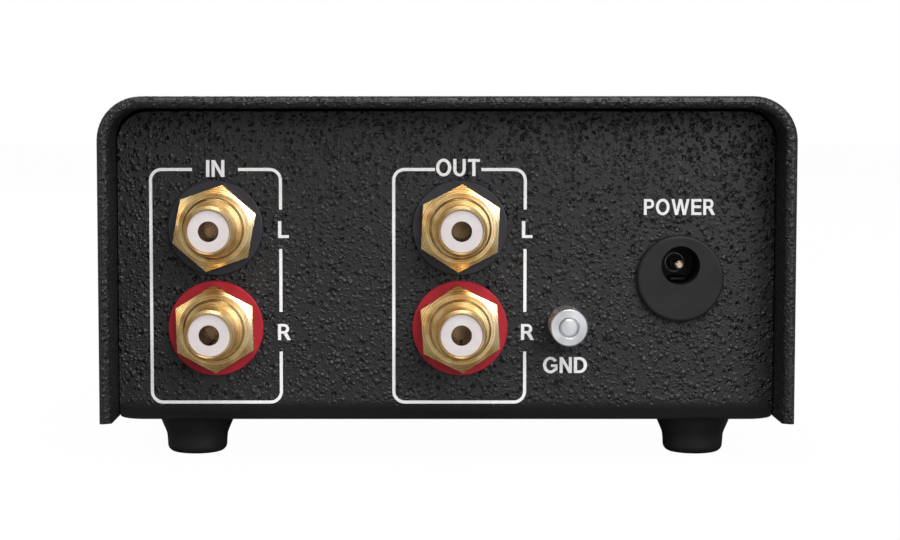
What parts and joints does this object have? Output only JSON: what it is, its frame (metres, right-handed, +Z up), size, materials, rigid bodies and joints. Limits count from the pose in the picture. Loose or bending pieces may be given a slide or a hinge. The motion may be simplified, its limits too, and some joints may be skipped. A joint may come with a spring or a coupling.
{
  "type": "phono preamp",
  "caption": "Small desktop phono preamp in a black folded steel case, with phono sockets, a ground terminal and a power inlet on its rear panel.",
  "frame": {"origin": "on the surface the feet stand on, under the middle of the box that holds the whole part", "axes": "+Z up, -Y out of the rear panel with the sockets, +X to the right of somebody who looks at that panel"},
  "size_m": [0.1172, 0.094, 0.0612],
  "materials": {
    "textured_black": "black textured powder coat",
    "black_screw": "blackened steel",
    "bright_steel": "zinc plated",
    "bright_nickel": "nickel plated, turned",
    "tinned_metal": "tinned",
    "gold_plate": "gold plated, polished",
    "red_washer": "moulded",
    "black_washer": "moulded",
    "white_moulding": "moulded",
    "black_moulding": "moulded",
    "foot_rubber": "matte",
    "board_green": "solder resist",
    "capacitor_sleeve": "shrunk sleeve",
    "film_red": "dipped",
    "wire_grey": "insulated",
    "wire_red": "insulated",
    "light_lens": "diffused"
  },
  "bodies": {
    "enclosure": {"amplifier_chips": "black_moulding", "board_screws": "bright_steel", "board_standoffs": "bright_steel", "contact_in_left": "gold_plate", "contact_in_right": "gold_plate", "contact_out_left": "gold_plate", "contact_out_right": "gold_plate", "cover": "textured_black", "cover_screws_left": "black_screw", "cover_screws_right": "black_screw", "film_capacitors": "film_red", "floor_screws": "black_screw", "foot_front_left": "foot_rubber", "foot_front_right": "foot_rubber", "foot_nuts": "bright_steel", "foot_rear_left": "foot_rubber", "foot_rear_right": "foot_rubber", "foot_screws": "bright_steel", "ground_lug": "tinned_metal", "ground_nut": "bright_steel", "ground_stud": "bright_nickel", "input_header": "white_moulding", "input_wires": "wire_grey", "insulator_in_left": "white_moulding", "insulator_in_right": "white_moulding", "insulator_out_left": "white_moulding", "insulator_out_right": "white_moulding", "light_holder": "bright_nickel", "main_board": "board_green", "output_header": "white_moulding", "output_wires": "wire_grey", "power_header": "white_moulding", "power_light": "light_lens", "power_pin": "bright_nickel", "power_socket": "black_moulding", "power_socket_nut": "black_moulding", "power_spring": "tinned_metal", "power_wires": "wire_red", "shell_in_left": "gold_plate", "shell_in_right": "gold_plate", "shell_out_left": "gold_plate", "shell_out_right": "gold_plate", "socket_bushes": "black_moulding", "socket_lugs": "tinned_metal", "socket_nuts": "gold_plate", "supply_capacitors": "capacitor_sleeve", "tray": "textured_black", "voltage_regulator": "black_moulding", "washer_in_left": "black_washer", "washer_in_right": "red_washer", "washer_out_left": "black_washer", "washer_out_right": "red_washer"},
    "ground_washer": {"ground_washer": "bright_nickel"},
    "thumb_nut": {"thumb_nut": "bright_nickel"}
  },
  "joints": [
    {"name": "ground_nut_travel", "type": "slide", "parent": "enclosure", "child": "ground_washer", "axis": [0, -1, 0], "range_m": [0, 0.003]},
    {"name": "ground_nut_turn", "type": "hinge", "parent": "ground_washer", "child": "thumb_nut", "pos_m": [0.02003, -0.038, 0.02337], "axis": [0, -1, 0], "range_deg": [0, 2160]}
  ],
  "couplings": [
    {"joint": "ground_nut_turn", "follows": "ground_nut_travel", "rad_per_m": 12566}
  ]
}
